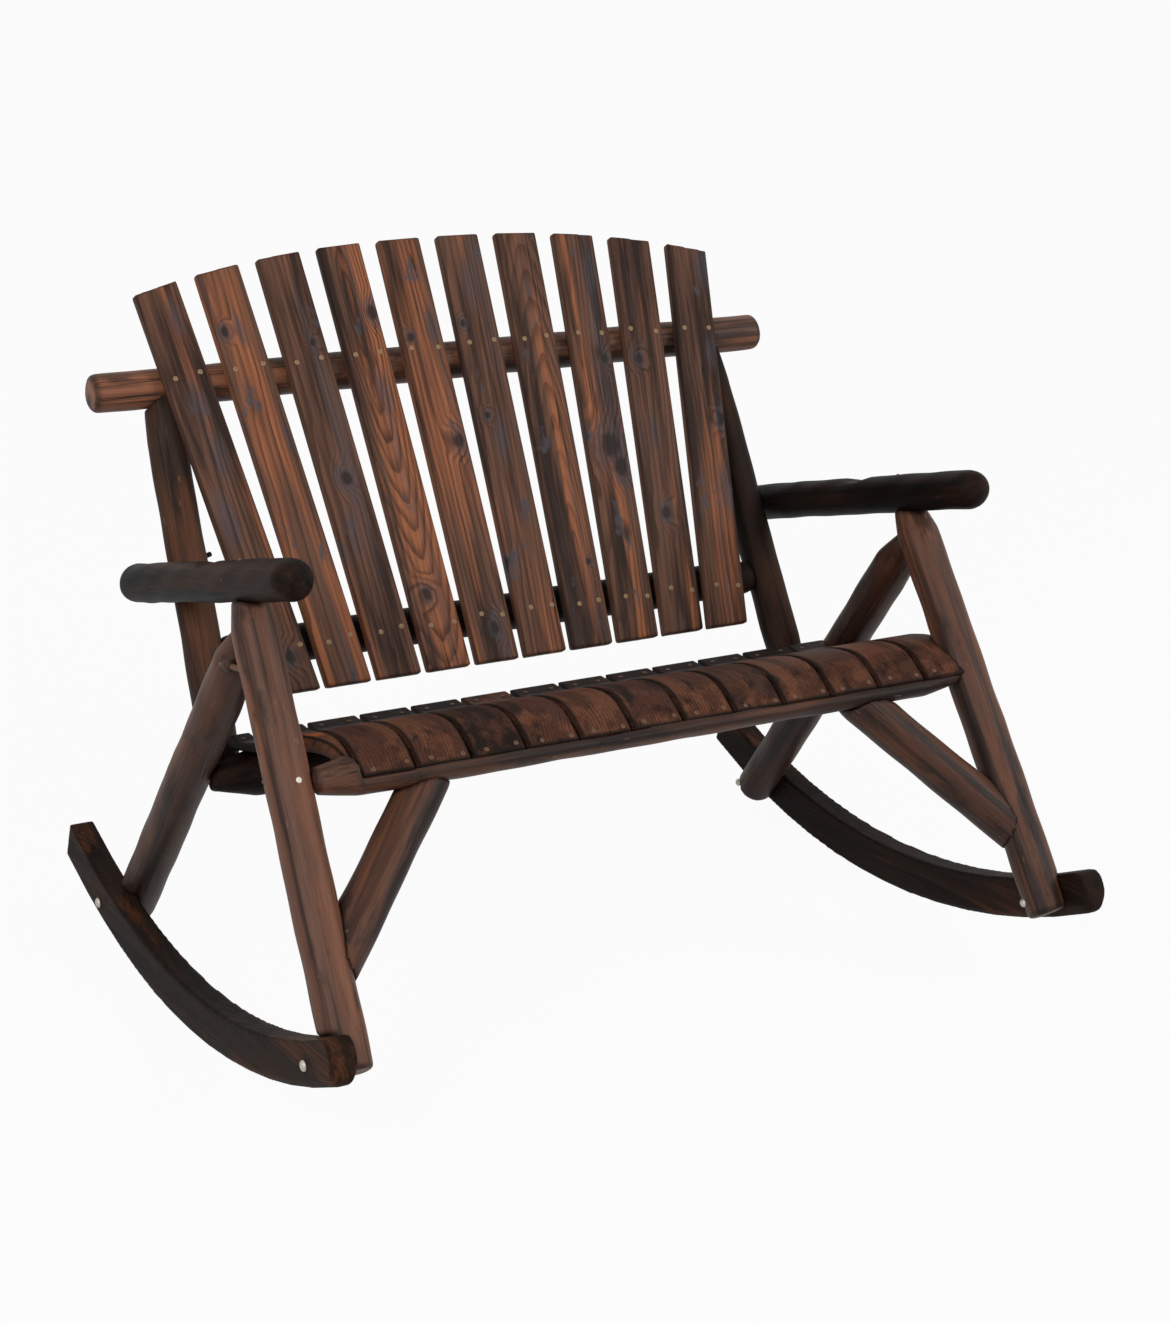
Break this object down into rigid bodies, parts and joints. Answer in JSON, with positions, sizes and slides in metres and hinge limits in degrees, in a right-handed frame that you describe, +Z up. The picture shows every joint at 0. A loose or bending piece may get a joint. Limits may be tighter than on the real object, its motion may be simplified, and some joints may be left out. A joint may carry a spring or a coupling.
{
  "type": "rocking bench",
  "caption": "Two-seat rocking bench of charred softwood: round-log frame on two sawn rockers, curved slatted seat and a fanned, crowned slat back.",
  "frame": {"origin": "centre of the bounding box's footprint, at the floor", "axes": "+X across the bench to the sitter's left, so to the viewer's right from the front, -Y to the front that the sitter faces, +Z up"},
  "size_m": [1.2186, 1.0098, 0.9844],
  "materials": {
    "charred_board": "satin, charred and brushed so that the dark grain stands out",
    "brown_log": "satin varnish over charred round wood",
    "dark_log": "satin varnish over round wood charred nearly black",
    "bolt_steel": "zinc plated, dull"
  },
  "bodies": {
    "root": {"arm_leg_bolt_left": "bolt_steel", "arm_leg_bolt_right": "bolt_steel", "arm_post_bolt_left": "bolt_steel", "arm_post_bolt_right": "bolt_steel", "armrest_left": "dark_log", "armrest_right": "dark_log", "back_post_left": "dark_log", "back_post_right": "dark_log", "back_slat_1": "charred_board", "back_slat_10": "charred_board", "back_slat_2": "charred_board", "back_slat_3": "charred_board", "back_slat_4": "charred_board", "back_slat_5": "charred_board", "back_slat_6": "charred_board", "back_slat_7": "charred_board", "back_slat_8": "charred_board", "back_slat_9": "charred_board", "end_slat_left": "charred_board", "end_slat_right": "charred_board", "front_leg_left": "brown_log", "front_leg_right": "brown_log", "front_rail_bolt_left": "bolt_steel", "front_rail_bolt_right": "bolt_steel", "knee_brace_left": "brown_log", "knee_brace_right": "brown_log", "leg_bolt_left": "bolt_steel", "leg_bolt_right": "bolt_steel", "lower_back_rail": "dark_log", "post_bolt_left": "bolt_steel", "post_bolt_right": "bolt_steel", "rear_leg_left": "brown_log", "rear_leg_right": "brown_log", "rear_rail_bolt_left": "bolt_steel", "rear_rail_bolt_right": "bolt_steel", "rocker_bolt_front_left": "bolt_steel", "rocker_bolt_front_right": "bolt_steel", "rocker_bolt_rear_left": "bolt_steel", "rocker_bolt_rear_right": "bolt_steel", "rocker_left": "charred_board", "rocker_right": "charred_board", "seat_front_rail": "brown_log", "seat_rear_rail": "dark_log", "seat_slat_1": "charred_board", "seat_slat_10": "charred_board", "seat_slat_11": "charred_board", "seat_slat_2": "charred_board", "seat_slat_3": "charred_board", "seat_slat_4": "charred_board", "seat_slat_5": "charred_board", "seat_slat_6": "charred_board", "seat_slat_7": "charred_board", "seat_slat_8": "charred_board", "seat_slat_9": "charred_board", "top_rail": "brown_log", "top_rail_bolt_left": "bolt_steel", "top_rail_bolt_right": "bolt_steel"}
  },
  "joints": []
}
